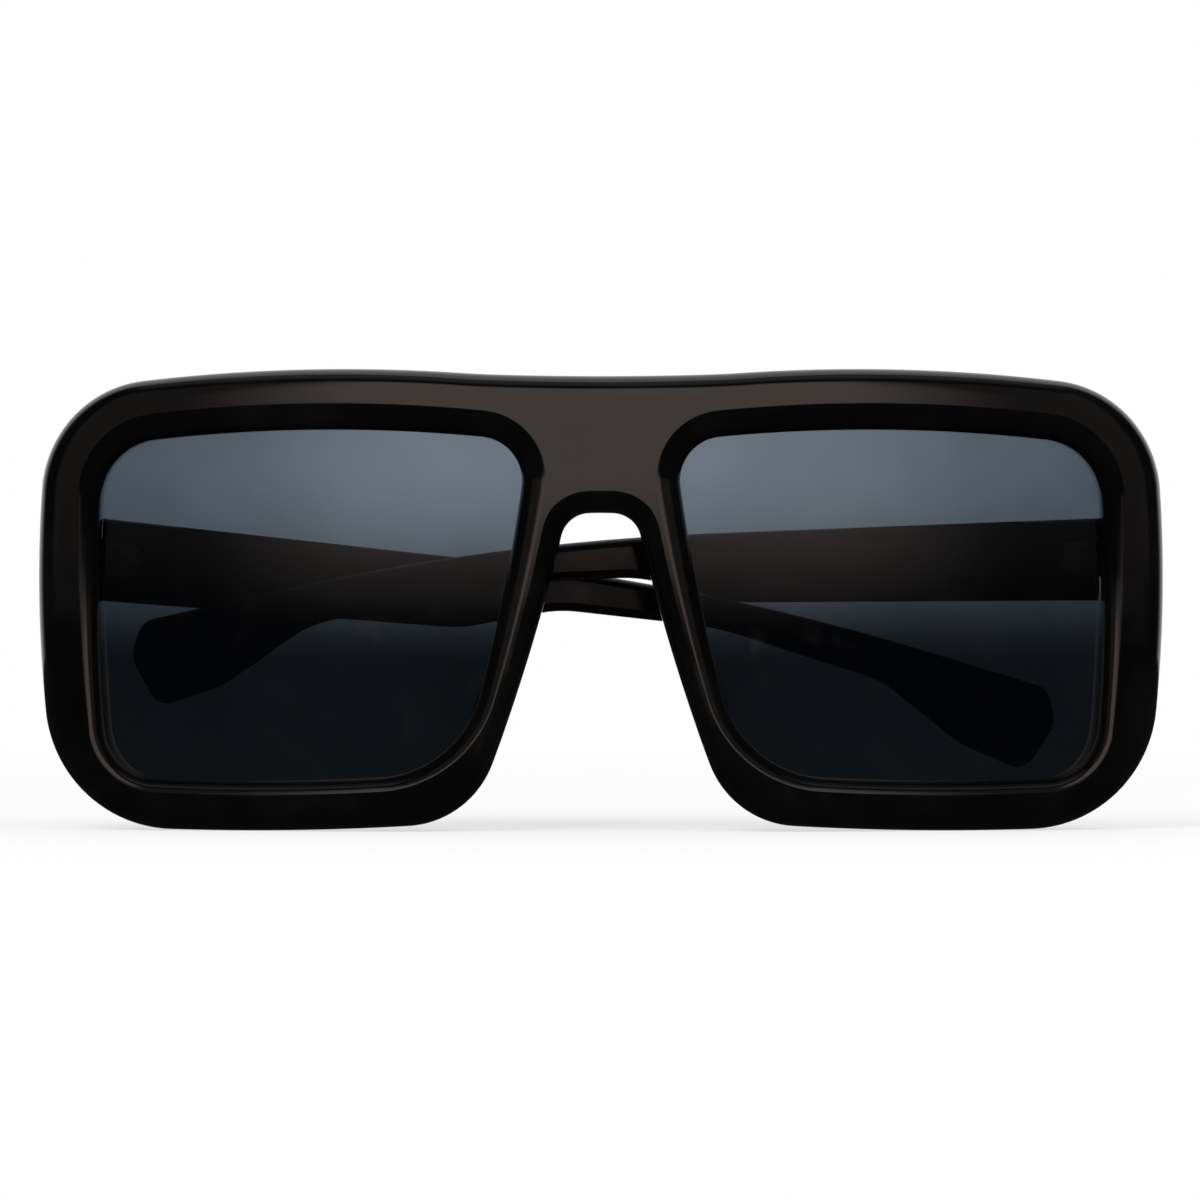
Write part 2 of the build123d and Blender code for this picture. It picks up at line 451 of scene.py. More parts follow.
@dataclass(frozen=True)
class MouldedPlastic:
    """Polished black plastic: nearly flat, with a faint ripple, a fine grain and rub marks."""

    name: str
    colour: Colour = (0.0012, 0.0011, 0.0011)
    worn_colour: Colour = (0.0032, 0.0031, 0.0030)
    roughness: float = 0.045
    worn_roughness: float = 0.11
    specular: float = 0.5
    patches: Patches = Patches(size=9.0 * MM, low=0.42, high=0.72, detail=3.0)
    rubs: Patches = Patches(size=1.3 * MM, low=0.50, high=0.80, detail=4.0, roughness=0.6)
    rub_share: float = 0.4
    ripple_size: float = 5.5 * MM
    ripple_height: float = 0.0025 * MM
    grain_size: float = 0.22 * MM
    grain_height: float = 0.0006 * MM

    def build(self) -> bpy.types.Material:
        """Make the material.

        Returns:
            The finished material.
        """
        material, board = new_material(self.name)
        where = board.place()
        patches = self.patches.level(board, where)
        rubbing = self.rubs.level(board, where)
        wear = patches * (1.0 - self.rub_share) + patches * rubbing * self.rub_share
        ripple = board.noise(where, self.ripple_size, detail=1.0)
        grain = board.noise(where, self.grain_size, detail=2.0)
        height = ripple + grain * (self.grain_height / self.ripple_height)
        shader = board.node(
            "ShaderNodeBsdfPrincipled",
            inputs={
                "Base Color": board.mix(wear, self.colour, self.worn_colour),
                "Roughness": wear.ramp(0.0, 1.0, self.roughness, self.worn_roughness),
                "IOR": PLASTIC_IOR,
                "Specular IOR Level": self.specular,
                "Normal": board.bump(height, self.ripple_height, strength=1.0),
            },
        )
        board.surface(shader)
        return material


@dataclass(frozen=True)
class SmokedLens:
    """Smoked sheet with a hard gloss. The share of light through it is painted: darker downwards
    as painted shade, higher beside the nose and lower outwards as a painted highlight, and in soft
    painted shadow patches.

    Attributes:
        painted_lit_clear_top: Share of the light that gets through high up, painted light.
        painted_shade_clear_low: Share that gets through low down, painted shade.
        fade: Heights between which the one turns into the other, where the painted shade comes in.
        painted_highlight_spread: Distances from the middle line between which the share falls, the
            spread of a painted highlight beside the nose.
        painted_highlight_nose_share: Factor on the share beside the nose, a painted highlight.
        painted_highlight_side_share: Factor on it at the far side, where the painted highlight has
            gone.
        faces: How many faces the light passes on its way.
    """

    name: str
    glass_colour: Colour = (0.0002, 0.0005, 0.0010)
    smeared_colour: Colour = (0.0009, 0.0012, 0.0018)
    tint: Colour = (0.79, 0.90, 1.0)
    # The share of light through the lens carries painted light high up and painted shade low down.
    painted_lit_clear_top: float = 0.158
    painted_shade_clear_low: float = 0.0058
    fade: Span = (22.5 * MM, 51.0 * MM)
    painted_highlight_spread: Span = (16.0 * MM, 68.0 * MM)
    painted_highlight_nose_share: float = 1.14
    painted_highlight_side_share: float = 0.69
    # Soft patches of painted shadow in the share of light through the lens.
    painted_shadow_clouds: Patches = Patches(size=16.0 * MM, low=0.3, high=0.7, low_level=0.92, high_level=1.08)
    smears: Patches = Patches(size=6.0 * MM, low=0.45, high=0.8, detail=3.0, roughness=0.6)
    roughness: float = 0.02
    smeared_roughness: float = 0.07
    faces: int = 2

    def build(self) -> bpy.types.Material:
        """Make the material.

        Returns:
            The finished material.
        """
        material, board = new_material(self.name)
        where = board.place()
        across, _, up = board.split(where)
        # Painted light and shade: the share falls downwards as painted shade, is higher beside the
        # nose as a painted highlight, and varies in soft painted shadow patches.
        rise = up.ramp(*self.fade)
        sideways = abs(across).ramp(*self.painted_highlight_spread, self.painted_highlight_nose_share, self.painted_highlight_side_share)
        cloud = self.painted_shadow_clouds.level(board, where)
        clear = (rise * (self.painted_lit_clear_top - self.painted_shade_clear_low) * sideways + self.painted_shade_clear_low) * cloud
        smears = self.smears.level(board, where)
        gloss = board.node(
            "ShaderNodeBsdfPrincipled",
            inputs={
                "Base Color": board.mix(smears, self.glass_colour, self.smeared_colour),
                "Roughness": smears.ramp(0.0, 1.0, self.roughness, self.smeared_roughness),
                "IOR": PLASTIC_IOR,
            },
        )
        window = board.node("ShaderNodeBsdfTransparent", inputs={"Color": self.tint})
        stopped = 1.0 - clear ** (1.0 / self.faces)
        board.surface(board.blend(stopped, window, gloss))
        return material


@dataclass(frozen=True)
class StampedMetal:
    """Plated sheet metal with a fine brushed grain along one direction."""

    name: str
    colour: Colour = (0.56, 0.55, 0.54)
    dull_colour: Colour = (0.33, 0.32, 0.31)
    roughness: float = 0.24
    brushed_roughness: float = 0.14
    streaks: Patches = Patches(size=1.6 * MM, low=0.3, high=0.7, detail=3.0, roughness=0.6)
    streak_width: float = 0.05 * MM
    streak_height: float = 0.003 * MM
    streak_strength: float = 0.6
    tarnish: Patches = Patches(size=1.2 * MM, low=0.45, high=0.75, detail=3.0)

    def build(self) -> bpy.types.Material:
        """Make the material.

        Returns:
            The finished material.
        """
        material, board = new_material(self.name)
        where = board.place()
        stretch = (1.0, 1.0, self.streaks.size / self.streak_width)
        brushed = board.node("ShaderNodeMapping", inputs={"Vector": where, "Scale": stretch})
        streaks = self.streaks.noise(board, brushed)
        rough = self.roughness + self.brushed_roughness
        tarnish = self.tarnish.level(board, where)
        shader = board.node(
            "ShaderNodeBsdfPrincipled",
            inputs={
                "Base Color": board.mix(tarnish, self.colour, self.dull_colour),
                "Metallic": 1.0,
                "Roughness": streaks.ramp(
                    self.streaks.low, self.streaks.high, self.roughness, rough
                ),
                "Normal": board.bump(streaks, self.streak_height, self.streak_strength),
            },
        )
        board.surface(shader)
        return material


class Wardrobe:
    """All finishes of the object, each made once."""

    def __init__(self) -> None:
        """Make every finish."""
        temple = MouldedPlastic(
            "polished_temple", roughness=0.07, worn_roughness=0.15, specular=0.30
        )
        self.finishes = {
            Slot.FRAME: MouldedPlastic("polished_front").build(),
            Slot.TEMPLE: temple.build(),
            Slot.LENS: SmokedLens("smoked_lens").build(),
            Slot.HINGE: StampedMetal("plated_leaf").build(),
            Slot.SCREW: StampedMetal("turned_screw", roughness=0.18).build(),
        }

    def dress(self, piece: bpy.types.Object, slot: Slot) -> None:
        """Give a piece one finish all over.

        Args:
            piece: Mesh to dress.
            slot: Slot that the finish belongs to.
        """
        piece.data.materials.clear()
        piece.data.materials.append(self.finishes[slot])

    def dress_nodes(self, names: Iterable[str], slot: Slot) -> None:
        """Give CAD nodes one finish.

        Args:
            names: Names of the nodes.
            slot: Slot that the finish belongs to.
        """
        for name in names:
            self.dress(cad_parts[name], slot)
            log.info("dressed %s as %s", name, slot.value)


@dataclass(frozen=True)
class Arc:
    """One circular stretch of an outline that is travelled clockwise round what it encloses.

    Attributes:
        turn: One where the travel is counter-clockwise round the centre, else minus one.
    """

    centre: Point
    radius: float
    start: Point
    end: Point
    turn: int

    @classmethod
    def through(cls, start: Point, middle: Point, end: Point) -> "Arc":
        """Draw an arc through three points.

        Args:
            start: First point.
            middle: A point on the way.
            end: Last point.

        Returns:
            The arc.
        """
        (ax, az), (bx, bz), (cx, cz) = start, middle, end
        cross = (bx - ax) * (cz - az) - (bz - az) * (cx - ax)
        near = (bx - ax) ** 2 + (bz - az) ** 2
        far = (cx - ax) ** 2 + (cz - az) ** 2
        ux = ((cz - az) * near - (bz - az) * far) / (2 * cross)
        uz = ((bx - ax) * far - (cx - ax) * near) / (2 * cross)
        return cls((ax + ux, az + uz), math.hypot(ux, uz), start, end, 1 if cross > 0 else -1)

    @classmethod
    def level_at(cls, level: Point, other: Point, outwards: bool) -> "Arc":
        """Draw an arc that runs level on the middle line and meets another point.

        Args:
            level: Point on the middle line.
            other: The arc's other end.
            outwards: Whether it is travelled from the middle line.

        Returns:
            The arc.
        """
        across, up = other[0] - level[0], other[1] - level[1]
        reach = (across**2 + up**2) / (2 * up)
        start, end = (level, other) if outwards else (other, level)
        return cls((level[0], level[1] + reach), abs(reach), start, end, 1)

    def tangent(self, point: Point) -> Point:
        """Direction of travel at a point of the arc."""
        across, up = point[0] - self.centre[0], point[1] - self.centre[1]
        return (-self.turn * up / self.radius, self.turn * across / self.radius)

    def beside(self, point: Point) -> Point:
        """Find the nearest point of the whole circle.

        Args:
            point: Point to start from.

        Returns:
            The circle's point on the same ray from the centre.
        """
        across, up = point[0] - self.centre[0], point[1] - self.centre[1]
        share = self.radius / math.hypot(across, up)
        return (self.centre[0] + across * share, self.centre[1] + up * share)

    def trimmed(self, start: Point | None = None, end: Point | None = None) -> "Arc":
        """The same arc between new ends."""
        return Arc(self.centre, self.radius, start or self.start, end or self.end, self.turn)

    def points(self, step: float) -> list[Spot]:
        """Walk along the arc.

        Args:
            step: Longest step in metres.

        Returns:
            Points with their outward normals, without the last one.
        """
        begin = math.atan2(self.start[1] - self.centre[1], self.start[0] - self.centre[0])
        finish = math.atan2(self.end[1] - self.centre[1], self.end[0] - self.centre[0])
        sweep = self.turn * ((self.turn * (finish - begin)) % math.tau)
        step = min(step, self.radius * CURVE_STEP)
        count = max(2, math.ceil(abs(sweep) * self.radius / step))
        made = []
        for index in range(count):
            angle = begin + sweep * index / count
            across, up = math.cos(angle), math.sin(angle)
            place = (self.centre[0] + self.radius * across, self.centre[1] + self.radius * up)
            made.append((place, (-self.turn * across, -self.turn * up)))
        return made


def round_corner(first: Arc, second: Arc, radius: float) -> tuple[Arc, Arc, Arc]:
    """Round the corner where two arcs meet.

    Args:
        first: Arc before the corner.
        second: Arc after it.
        radius: Radius of the rounding.

    Returns:
        The first arc trimmed, the rounding, and the second arc trimmed.
    """
    before, after = first.tangent(first.end), second.tangent(second.start)
    inward = 1 if before[0] * after[1] - before[1] * after[0] < 0 else -1
    reach_a = first.radius + first.turn * inward * radius
    reach_b = second.radius + second.turn * inward * radius
    (ax, az), (bx, bz) = first.centre, second.centre
    apart = math.hypot(bx - ax, bz - az)
    along = (reach_a**2 - reach_b**2 + apart**2) / (2 * apart)
    aside = math.sqrt(max(reach_a**2 - along**2, 0.0))
    ux, uz = (bx - ax) / apart, (bz - az) / apart
    choices = [
        (ax + along * ux - k * aside * uz, az + along * uz + k * aside * ux) for k in (1, -1)
    ]
    centre = min(choices, key=lambda point: math.dist(point, first.end))
    leave, join = first.beside(centre), second.beside(centre)
    rounding = Arc(centre, radius, leave, join, -inward)
    return first.trimmed(end=leave), rounding, second.trimmed(start=join)


@dataclass(frozen=True)
class EdgeShape:
    """How an edge rounds over.

    Attributes:
        width: Width of the front rounding across the face.
        depth: Depth of the front rounding.
        share: Largest share of the room up to the next edge that its width may take.
        inside: One for an edge round an opening, minus one for the edge round the whole.
        back: Radius of the rounding at the back.
        swell: How much wider it is at the top, and narrower at the bottom, as a share.
    """

    width: float
    depth: float
    share: float
    inside: int
    back: float = 1.0 * MM
    swell: float = 0.0


@dataclass
class Front:
    """The moulded front: a curved plate with soft edges, with nose pads and endpieces behind.

    Attributes:
        wrap: Radius that the face is curved on, seen from above.
        step: Longest step along an outline.
        grid: Distance between the points that fill the face and the back.
        endpieces_from: Distance from the middle line beyond which the endpieces lie.
        clearance: How far behind the plate a face of the solid counts as theirs.
        weld: Distance at which two points of the solid become one.
        root: How far the endpieces reach into the plate.
        crease: Angle from which their edges stay sharp.
        outline: Points of the right half in shares of the half width and of the height.
        opening: Points of the right rim's opening in the same shares.
    """

    width: float = 155.0 * MM
    height: float = 63.0 * MM
    thickness: float = 7.6 * MM
    wrap: float = 260.0 * MM
    outer_edge: EdgeShape = EdgeShape(3.0 * MM, 3.0 * MM, share=0.43, inside=-1)
    rim_edge: EdgeShape = EdgeShape(2.75 * MM, 3.0 * MM, share=0.52, inside=1, swell=0.42)
    rounding_steps: int = 14
    back_steps: int = 4
    step: float = 0.9 * MM
    grid: float = 3.0 * MM
    endpieces_from: float = 50.0 * MM
    clearance: float = 0.02 * MM
    weld: float = 0.001 * MM
    root: float = 1.0 * MM
    crease: float = math.radians(28.0)
    front_y: float = field(default_factory=lambda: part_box("front_frame")[0].y)
    outline: dict[str, Point] = field(
        default_factory=lambda: {
            "bridge": (0.000, 0.984),
            "brow start": (0.220, 0.989),
            "brow": (0.560, 0.999),
            "upper corner": (0.977, 0.950),
            "side": (1.000, 0.560),
            "lower corner": (0.958, 0.012),
            "base": (0.600, 0.000),
            "nose corner": (0.231, 0.020),
            "nose side": (0.134, 0.350),
            "arch corner": (0.061, 0.684),
            "arch": (0.000, 0.688),
        }
    )
    outline_radii: tuple[float, ...] = (150.0 * MM, 16.0 * MM, 18.0 * MM, 13.0 * MM, 4.0 * MM)
    opening: dict[str, Point] = field(
        default_factory=lambda: {
            "upper nose": (0.130, 0.842),
            "top": (0.500, 0.869),
            "upper outer": (0.880, 0.835),
            "outer": (0.891, 0.540),
            "lower outer": (0.873, 0.117),
            "bottom": (0.620, 0.107),
            "lower nose": (0.253, 0.128),
            "nose side": (0.174, 0.500),
        }
    )
    opening_radii: tuple[float, ...] = (8.5 * MM, 7.5 * MM, 15.0 * MM, 6.0 * MM)
    verts: list[Vector] = field(default_factory=list)
    normals: list[Vector] = field(default_factory=list)
    faces: list[tuple[int, ...]] = field(default_factory=list)

    def place(self, share: Point) -> Point:
        """A point of the face from its shares of the half width and of the height."""
        return (share[0] * self.width / 2, share[1] * self.height)

    def outline_loop(self) -> list[Spot]:
        """Walk round the outline.

        Returns:
            Points with outward normals, clockwise from the top of the bridge.
        """
        at = {name: self.place(share) for name, share in self.outline.items()}
        arcs = [
            Arc.level_at(at["bridge"], at["brow start"], True),
            Arc.through(at["brow start"], at["brow"], at["upper corner"]),
            Arc.through(at["upper corner"], at["side"], at["lower corner"]),
            Arc.through(at["lower corner"], at["base"], at["nose corner"]),
            Arc.through(at["nose corner"], at["nose side"], at["arch corner"]),
            Arc.level_at(at["arch"], at["arch corner"], False),
        ]
        half: list[Spot] = []
        for number, radius in enumerate(self.outline_radii):
            first, second = arcs[number], arcs[number + 1]
            arcs[number], rounding, arcs[number + 1] = round_corner(first, second, radius)
            half += arcs[number].points(self.step) + rounding.points(self.step)
        half += arcs[-1].points(self.step)
        top_of_arch = (at["arch"], (0.0, -1.0))
        return half + [top_of_arch] + mirrored(half[1:])

    def opening_loop(self, side: Side) -> list[Spot]:
        """Walk round a rim's opening.

        Args:
            side: Side of the rim.

        Returns:
            Points with normals into the rim.
        """
        at = {name: self.place(share) for name, share in self.opening.items()}
        names = list(at)
        arcs = [
            Arc.through(at[names[k]], at[names[k + 1]], at[names[(k + 2) % len(names)]])
            for k in range(0, len(names), 2)
        ]
        roundings = []
        for number, radius in enumerate(self.opening_radii):
            after = (number + 1) % len(arcs)
            arcs[number], rounding, arcs[after] = round_corner(arcs[number], arcs[after], radius)
            roundings.append(rounding)
        loop: list[Spot] = []
        for arc, rounding in zip(arcs, roundings):
            loop += arc.points(self.step) + rounding.points(self.step)
        return mirrored(loop) if side is Side.LEFT else loop

    def skin(self, across: float, depth: float) -> tuple[float, Vector]:
        """Where the front lies at a place across it.

        Args:
            across: Distance from the middle line.
            depth: Depth behind the face.

        Returns:
            The Y there, and the face's normal.
        """
        lean = math.asin(across / self.wrap)
        radius = self.wrap - depth
        back = self.wrap - math.sqrt(radius**2 - across**2)
        return self.front_y + back, Vector((math.sin(lean), -math.cos(lean), 0.0))

    def add_vertex(self, across: float, up: float, depth: float, normal: Vector) -> int:
        """Add a vertex at a depth behind the face.

        Args:
            across: Its X.
            up: Its Z.
            depth: Depth behind the face.
            normal: Its normal.

        Returns:
            Its number.
        """
        self.verts.append(Vector((across, self.skin(across, depth)[0], up)))
        self.normals.append(normal.normalized())
        return len(self.verts) - 1

    def profile(self, shape: EdgeShape, width: float) -> list[tuple[float, float, float, float]]:
        """Work out an edge's section: over the front rounding, down the wall and round the back.

        Args:
            shape: The edge's sizes.
            width: Width of its front rounding here.

        Returns:
            At each step the distance into the material, the depth, and how much the normal
            follows the face's and the wall's.
        """
        made = []
        for out, down in quarter_turn(self.rounding_steps):
            inset, depth = width * (1 - out), shape.depth * (1 - down)
            made.append((inset, depth, down / shape.depth, out / width))
        for down, out in quarter_turn(self.back_steps):
            depth = self.thickness - shape.back * (1 - down)
            made.append((shape.back * (1 - out), depth, -down, out))
        return made

    def add_edge(
        self, loop: list[Spot], shape: EdgeShape, others: list[Point]
    ) -> tuple[list[int], list[int]]:
        """Build the rounded edge along a loop.

        Args:
            loop: Points with normals away from what the loop encloses.
            shape: The edge's sizes.
            others: Points of the edges it must leave room for.

        Returns:
            Vertex numbers of its first ring on the face and of its last ring on the back.
        """
        rings: list[list[int]] = []
        for (across, up), (nx, nz) in loop:
            room = math.sqrt(min((across - x) ** 2 + (up - z) ** 2 for x, z in others))
            level = 2.0 * up / self.height - 1.0
            width = min(shape.width * (1.0 + shape.swell * level), shape.share * room)
            wall = Vector((-shape.inside * nx, 0.0, -shape.inside * nz))
            column = []
            for inset, depth, facing, sideways in self.profile(shape, width):
                x, z = across + shape.inside * nx * inset, up + shape.inside * nz * inset
                face = self.skin(x, 0.0)[1]
                column.append(self.add_vertex(x, z, depth, face * facing + wall * sideways))
            rings.append(column)
        for number, column in enumerate(rings):
            after = rings[(number + 1) % len(rings)]
            for k in range(len(column) - 1):
                quad = (column[k], after[k], after[k + 1], column[k + 1])
                self.faces.append(quad if shape.inside < 0 else quad[::-1])
        return [column[0] for column in rings], [column[-1] for column in rings]

    def fill(self, rings: list[list[int]], depth: float, facing: int) -> None:
        """Fill the face or the back between its rings.

        Args:
            rings: Vertex numbers of the outer ring and of the openings' rings.
            depth: Depth behind the face.
            facing: One for the face, minus one for the back.
        """
        numbers = [number for ring in rings for number in ring]
        flat = [Vector((self.verts[n].x, self.verts[n].z)) for n in numbers]
        edges, start = [], 0
        for ring in rings:
            edges += [(start + k, start + (k + 1) % len(ring)) for k in range(len(ring))]
            start += len(ring)
        loops = [[(self.verts[n].x, self.verts[n].z) for n in ring] for ring in rings]
        margin = self.grid / 2
        columns = int(self.width / 2 / self.grid)
        for column in range(-columns, columns + 1):
            for row in range(1, int(self.height / self.grid) + 1):
                spot = (column * self.grid, row * self.grid)
                near = min(math.dist(spot, point) for loop in loops for point in loop[::2])
                if near > margin and on_plate(spot, loops):
                    flat.append(Vector(spot))
                    normal = self.skin(spot[0], 0.0)[1] * facing
                    numbers.append(self.add_vertex(*spot, depth, normal))
        filled = delaunay_2d_cdt(flat, edges, [], INNER_TRIANGLES, SAME_SPOT)
        spots, _, triangles, origins, *_ = filled
        for triangle in triangles:
            middle = sum((spots[k] for k in triangle), Vector((0.0, 0.0))) / len(triangle)
            if on_plate(tuple(middle), loops):
                found = tuple(numbers[origins[k][0]] for k in triangle)
                self.faces.append(found if facing > 0 else found[::-1])

    def shell(self) -> bpy.types.Object:
        """Build the curved plate with its soft edges.

        Returns:
            The plate.
        """
        outline = self.outline_loop()
        openings = [self.opening_loop(side) for side in Side]
        opening_points = [point for loop in openings for point, _ in loop]
        outline_points = [point for point, _ in outline]
        pairs = [self.add_edge(outline, self.outer_edge, opening_points)]
        pairs += [self.add_edge(loop, self.rim_edge, outline_points) for loop in openings]
        self.fill([pair[0] for pair in pairs], 0.0, 1)
        self.fill([pair[1] for pair in pairs], self.thickness, -1)
        return smooth_object("front_shell", self.verts, self.faces, self.normals)

    def endpieces(self) -> bpy.types.Object:
        """Copy what the solid has behind its plate at the hinges.

        Returns:
            Both endpieces with their pockets, closed inside the plate.
        """
        shape = bmesh.new()
        shape.from_mesh(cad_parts["front_frame"].data)
        bmesh.ops.remove_doubles(shape, verts=shape.verts, dist=self.weld)
        others = []
        for face in shape.faces:
            middle = face.calc_center_median()
            limit = self.skin(middle.x, self.thickness)[0] + self.clearance
            if abs(middle.x) < self.endpieces_from or middle.y < limit:
                others.append(face)
        bmesh.ops.delete(shape, geom=others, context="FACES")
        loops = [edge.link_loops[0] for edge in shape.edges if edge.is_boundary]
        rim = [(loop.link_loop_next.vert, loop.vert) for loop in loops]
        sunk: dict[bmesh.types.BMVert, bmesh.types.BMVert] = {}
        for vert in (vert for pair in rim for vert in pair if vert not in sunk):
            sunk[vert] = shape.verts.new(vert.co - Vector((0.0, self.root, 0.0)))
        for first, second in rim:
            shape.faces.new((first, second, sunk[second], sunk[first]))
        bmesh.ops.holes_fill(shape, edges=[edge for edge in shape.edges if edge.is_boundary])
        bmesh.ops.triangulate(shape, faces=[face for face in shape.faces if len(face.verts) > 4])
        bmesh.ops.recalc_face_normals(shape, faces=shape.faces)
        made = mesh_object("endpieces", shape)
        made.data.shade_smooth()
        made.data.set_sharp_from_angle(angle=self.crease)
        return made

    def build(self, wardrobe: Wardrobe) -> None:
        """Build and dress the front's own pieces, and dress what it carries.

        Args:
            wardrobe: Finishes to use.
        """
        pieces = [self.shell(), self.endpieces()]
        pieces += [NosePad(side, self).build() for side in Side]
        for piece in pieces:
            wardrobe.dress(piece, Slot.FRAME)
            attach(piece, "front")
            log.info("built %s", piece.name)
        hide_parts("front_frame")
        for side in Side:
            wardrobe.dress_nodes([f"{side.word}_lens"], Slot.LENS)
            wardrobe.dress_nodes([f"{side.word}_front_leaf"], Slot.HINGE)
            wardrobe.dress_nodes([f"{side.word}_hinge_screw"], Slot.SCREW)


@dataclass
class NosePad:
    """A long rounded pad on the back of a rim, with a soft root."""

    side: Side
    front: Front
    length: float = 17.0 * MM
    width: float = 4.6 * MM
    depth: float = 4.4 * MM
    edge: float = 2.1 * MM
    root: float = 0.15 * MM
    spacing: float = 27.2 * MM
    height: float = 20.5 * MM
    slant: float = math.radians(18.0)
    round_steps: int = 48
    root_steps: int = 6
    edge_steps: int = 12

    def sections(self) -> list[tuple[float, float]]:
        """Work out the pad's steps from its root to its top.

        Returns:
            At each step the growth of the pad's outline and the depth behind the face.
        """
        base = self.front.thickness
        top = base + self.depth
        made = [(self.root, base - self.root)]
        for out, down in quarter_turn(self.root_steps):
            made.append((self.root * (1 - out), base + self.root * (1 - down)))
        for out, down in quarter_turn(self.edge_steps):
            made.append((-self.edge * (1 - down), top - self.edge * (1 - out)))
        return made

    def ring(self, growth: float) -> list[Point]:
        """Walk round the pad's outline.

        Args:
            growth: How far outside the outline.

        Returns:
            Points of the ring.
        """
        lean = -self.side.value * self.slant
        middle_x = self.side.value * self.spacing / 2
        half = self.width / 2
        made = []
        for number in range(self.round_steps):
            angle = math.tau * number / self.round_steps
            end = (self.length / 2 - half) * (1 if angle < math.pi else -1)
            across = (half + growth) * math.cos(angle)
            along = end + (half + growth) * math.sin(angle)
            x = middle_x + across * math.cos(lean) + along * math.sin(lean)
            made.append((x, self.height - across * math.sin(lean) + along * math.cos(lean)))
        return made

    def build(self) -> bpy.types.Object:
        """Build the pad.

        Returns:
            The pad.
        """
        face_y = self.front.skin(self.side.value * self.spacing / 2, 0.0)[0]
        shape = bmesh.new()
        rings = [
            [shape.verts.new((x, face_y + depth, z)) for x, z in self.ring(growth)]
            for growth, depth in self.sections()
        ]
        for first, second in zip(rings, rings[1:]):
            for number in range(len(first)):
                after = (number + 1) % len(first)
                shape.faces.new((first[number], second[number], second[after], first[after]))
        shape.faces.new(rings[-1][::-1])
        shape.faces.new(rings[0])
        bmesh.ops.recalc_face_normals(shape, faces=shape.faces)
        pad = mesh_object(f"nose_pad_{self.side.word}", shape)
        pad.data.shade_smooth()
        return pad


@dataclass
class Temple:
    """One temple with its hinge leaf."""

    side: Side

    def build(self, wardrobe: Wardrobe) -> None:
        """Dress the temple and its leaf.

        Args:
            wardrobe: Finishes to use.
        """
        wardrobe.dress_nodes([f"{self.side.word}_temple"], Slot.TEMPLE)
        wardrobe.dress_nodes([f"{self.side.word}_temple_leaf"], Slot.HINGE)


@dataclass(frozen=True)
class Room:
    """What the gloss sees: a warm panel in front, dim sides, a cool ceiling and white behind.

    Directions are in degrees, up from the level or round from straight in front.
    """

    panel: Colour = (1.20, 1.01, 0.90)
    ceiling: Colour = (0.26, 0.28, 0.32)
    dim: Colour = (0.012, 0.012, 0.014)
    daylight: float = 0.75
    panel_rise: Span = (-0.35, 1.1)
    panel_fall: Span = (42.0, 54.0)
    panel_side: Span = (15.0, 30.0)
    panel_beside: float = 0.12
    panel_end: Span = (55.0, 75.0)
    ceiling_rise: Span = (55.0, 75.0)
    behind: Span = (110.0, 140.0)

    def build(self) -> None:
        """Make the world."""
        world = bpy.data.worlds.new("studio")
        world.use_nodes = True
        bpy.context.scene.world = world
        board = Board(world.node_tree)
        x, y, z = board.split(board.node("ShaderNodeTexCoord", output="Generated"))
        climb = z.angle_over((x * x + y * y) ** 0.5)
        turn = abs(x.angle_over(0.0 - y))
        shown = climb.ramp(*self.panel_rise) * climb.ramp(*self.panel_fall, 1.0, 0.0)
        shown = shown * turn.ramp(*self.panel_side, 1.0, self.panel_beside)
        shown = shown * turn.ramp(*self.panel_end, 1.0, 0.0)
        seen = board.mix(climb.ramp(*self.ceiling_rise), self.dim, self.ceiling)
        seen = board.mix(shown, seen, self.panel)
        seen = board.mix(turn.ramp(*self.behind), seen, WHITE)
        camera, glossy, through = board.rays("Camera", "Glossy", "Transmission")
        looked = (camera + glossy + through).at_most(1.0)
        colour = board.mix(glossy, WHITE, seen)
        lit_inputs = {"Color": WHITE, "Strength": self.daylight}
        lit = board.node("ShaderNodeBackground", inputs=lit_inputs)
        studio = board.node("ShaderNodeBackground", inputs={"Color": colour, "Strength": 1.0})
        board.surface(board.blend(looked, lit, studio), "ShaderNodeOutputWorld")
        log.info("built the studio's surroundings")


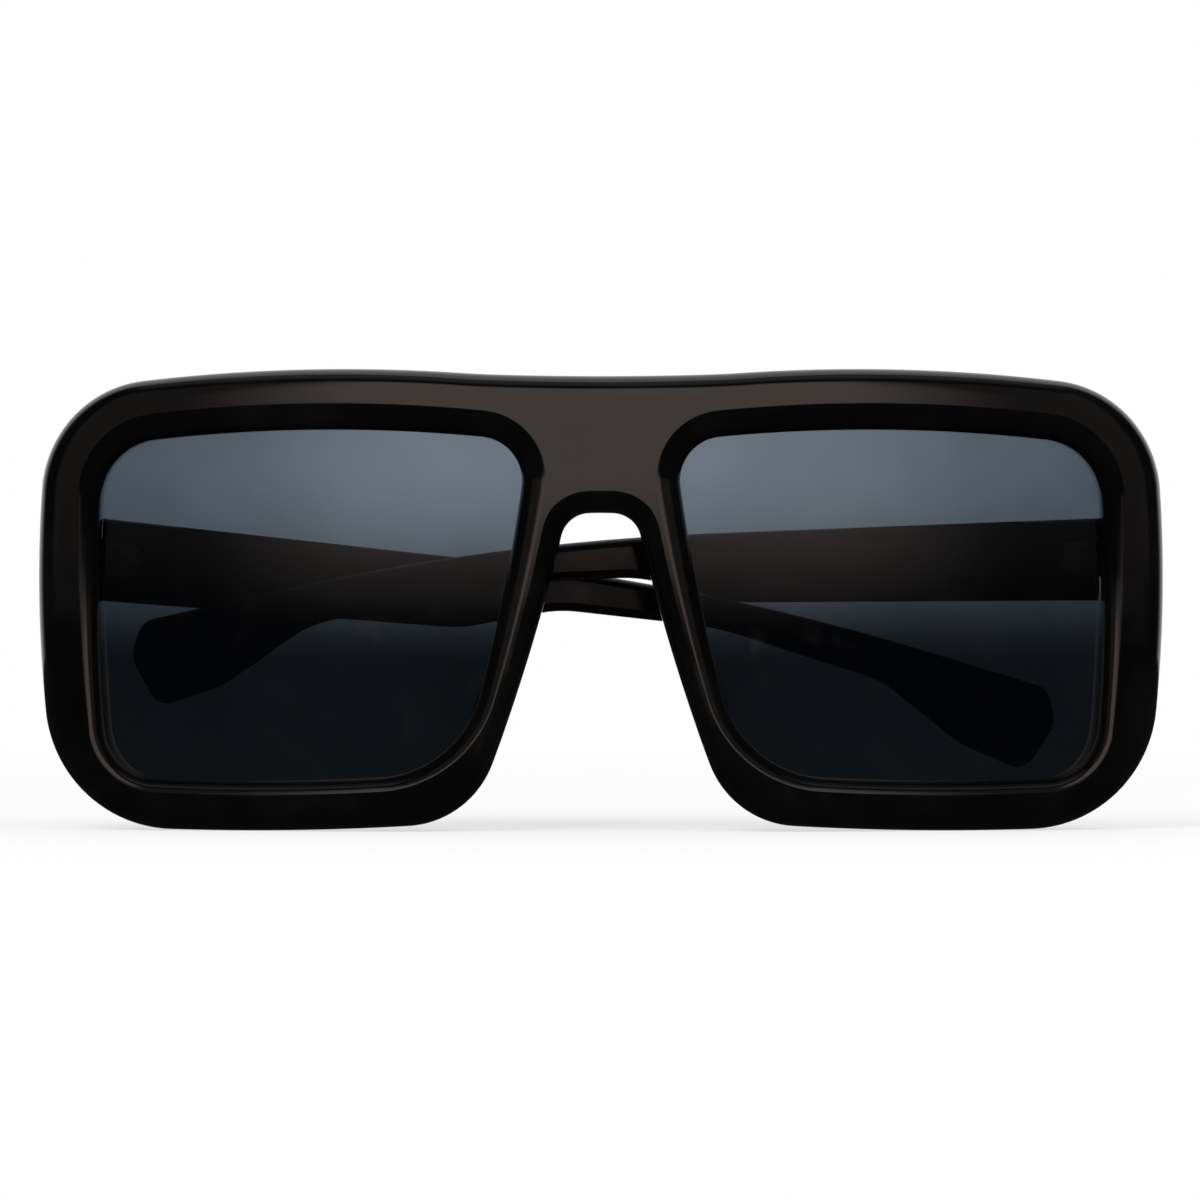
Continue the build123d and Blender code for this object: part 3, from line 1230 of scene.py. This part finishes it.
@dataclass(frozen=True)
class Floor:
    """A round pale sheet that keeps the object's shadow and fades into the white around it.

    Attributes:
        spokes: Number of its edges.
        drop: How far it lies under the object.
        fade: Distances from the middle between which it turns plain white.
        glow: Share of plain white under the object.
        gloss_level: Level at which the object's gloss shows it.
    """

    radius: float = 0.55
    spokes: int = 96
    drop: float = 0.02 * MM
    colour: Colour = (0.86, 0.86, 0.86)
    speck_colour: Colour = (0.88, 0.88, 0.88)
    specks: Patches = Patches(size=0.8 * MM, low=0.3, high=0.7)
    fade: Span = (0.14, 0.50)
    glow: float = 0.62
    gloss_level: float = 0.02

    def build(self) -> None:
        """Make the sheet and its material."""
        shape = bmesh.new()
        bmesh.ops.create_circle(
            shape, cap_ends=True, cap_tris=True, segments=self.spokes, radius=self.radius
        )
        sheet = mesh_object("studio_floor", shape)
        sheet.location.z = -self.drop
        material, board = new_material("pale_floor")
        where = board.place()
        x, y, _ = board.split(where)
        out = (x * x + y * y) ** 0.5
        camera, glossy, through = board.rays("Camera", "Glossy", "Transmission")
        share = out.ramp(*self.fade, self.glow, 1.0) * (camera + through).at_most(1.0)
        colour = board.mix(self.specks.level(board, where), self.colour, self.speck_colour)
        matt = board.node("ShaderNodeBsdfDiffuse", inputs={"Color": colour, "Roughness": 0.0})
        glow = board.node("ShaderNodeEmission", inputs={"Color": WHITE, "Strength": 1.0})
        pale = board.blend(share, matt, glow)
        card_inputs = {"Color": WHITE, "Strength": self.gloss_level}
        card = board.node("ShaderNodeEmission", inputs=card_inputs)
        board.surface(board.blend(glossy, pale, card))
        sheet.data.materials.append(material)
        log.info("built the floor")


@dataclass(frozen=True)
class Softbox:
    """A square lamp aimed at the object."""

    name: str
    place: tuple[float, float, float]
    size: float
    power: float
    target: tuple[float, float, float] = (0.0, 0.0, 0.03)

    def build(self) -> None:
        """Make the lamp."""
        data = bpy.data.lights.new(self.name, "AREA")
        data.shape = "SQUARE"
        data.size = self.size
        data.energy = self.power
        lamp = add_object(self.name, data)
        lamp.location = self.place
        aim = Vector(self.target) - Vector(self.place)
        lamp.rotation_euler = aim.to_track_quat("-Z", "Y").to_euler()
        lamp.visible_glossy = False
        log.info("hung %s", self.name)


@dataclass(frozen=True)
class ProductCamera:
    """Level camera straight in front, far enough for little perspective."""

    place: tuple[float, float, float] = (-0.14 * MM, -917.0 * MM, 31.5 * MM)
    tilt: float = math.radians(90.0)
    view_width: float = 165.33 * MM
    view_distance: float = 914.0 * MM
    sensor: float = 36.0
    nearest: float = 0.01

    def build(self) -> None:
        """Make the camera and give it to the scene."""
        data = bpy.data.cameras.new("product_camera")
        data.sensor_fit = "HORIZONTAL"
        data.sensor_width = self.sensor
        data.lens = self.sensor * self.view_distance / self.view_width
        data.clip_start = self.nearest
        camera = add_object("product_camera", data)
        camera.location = self.place
        camera.rotation_euler = (self.tilt, 0.0, 0.0)
        bpy.context.scene.camera = camera
        log.info("set the camera, %.0f mm lens", data.lens)


LAMPS = (
    Softbox("key_softbox", place=(-0.55, -0.75, 0.85), size=0.7, power=6.0),
    Softbox("fill_softbox", place=(0.75, -0.35, 0.6), size=0.8, power=3.0),
)


def main() -> None:
    """Build everything in order."""
    logging.basicConfig(level=logging.INFO, format="%(name)s: %(message)s")
    bpy.context.scene.view_settings.view_transform = "Standard"
    wardrobe = Wardrobe()
    Front().build(wardrobe)
    for side in Side:
        Temple(side).build(wardrobe)
    ProductCamera().build()
    Room().build()
    Floor().build()
    for lamp in LAMPS:
        lamp.build()


if __name__ == "__main__":
    main()
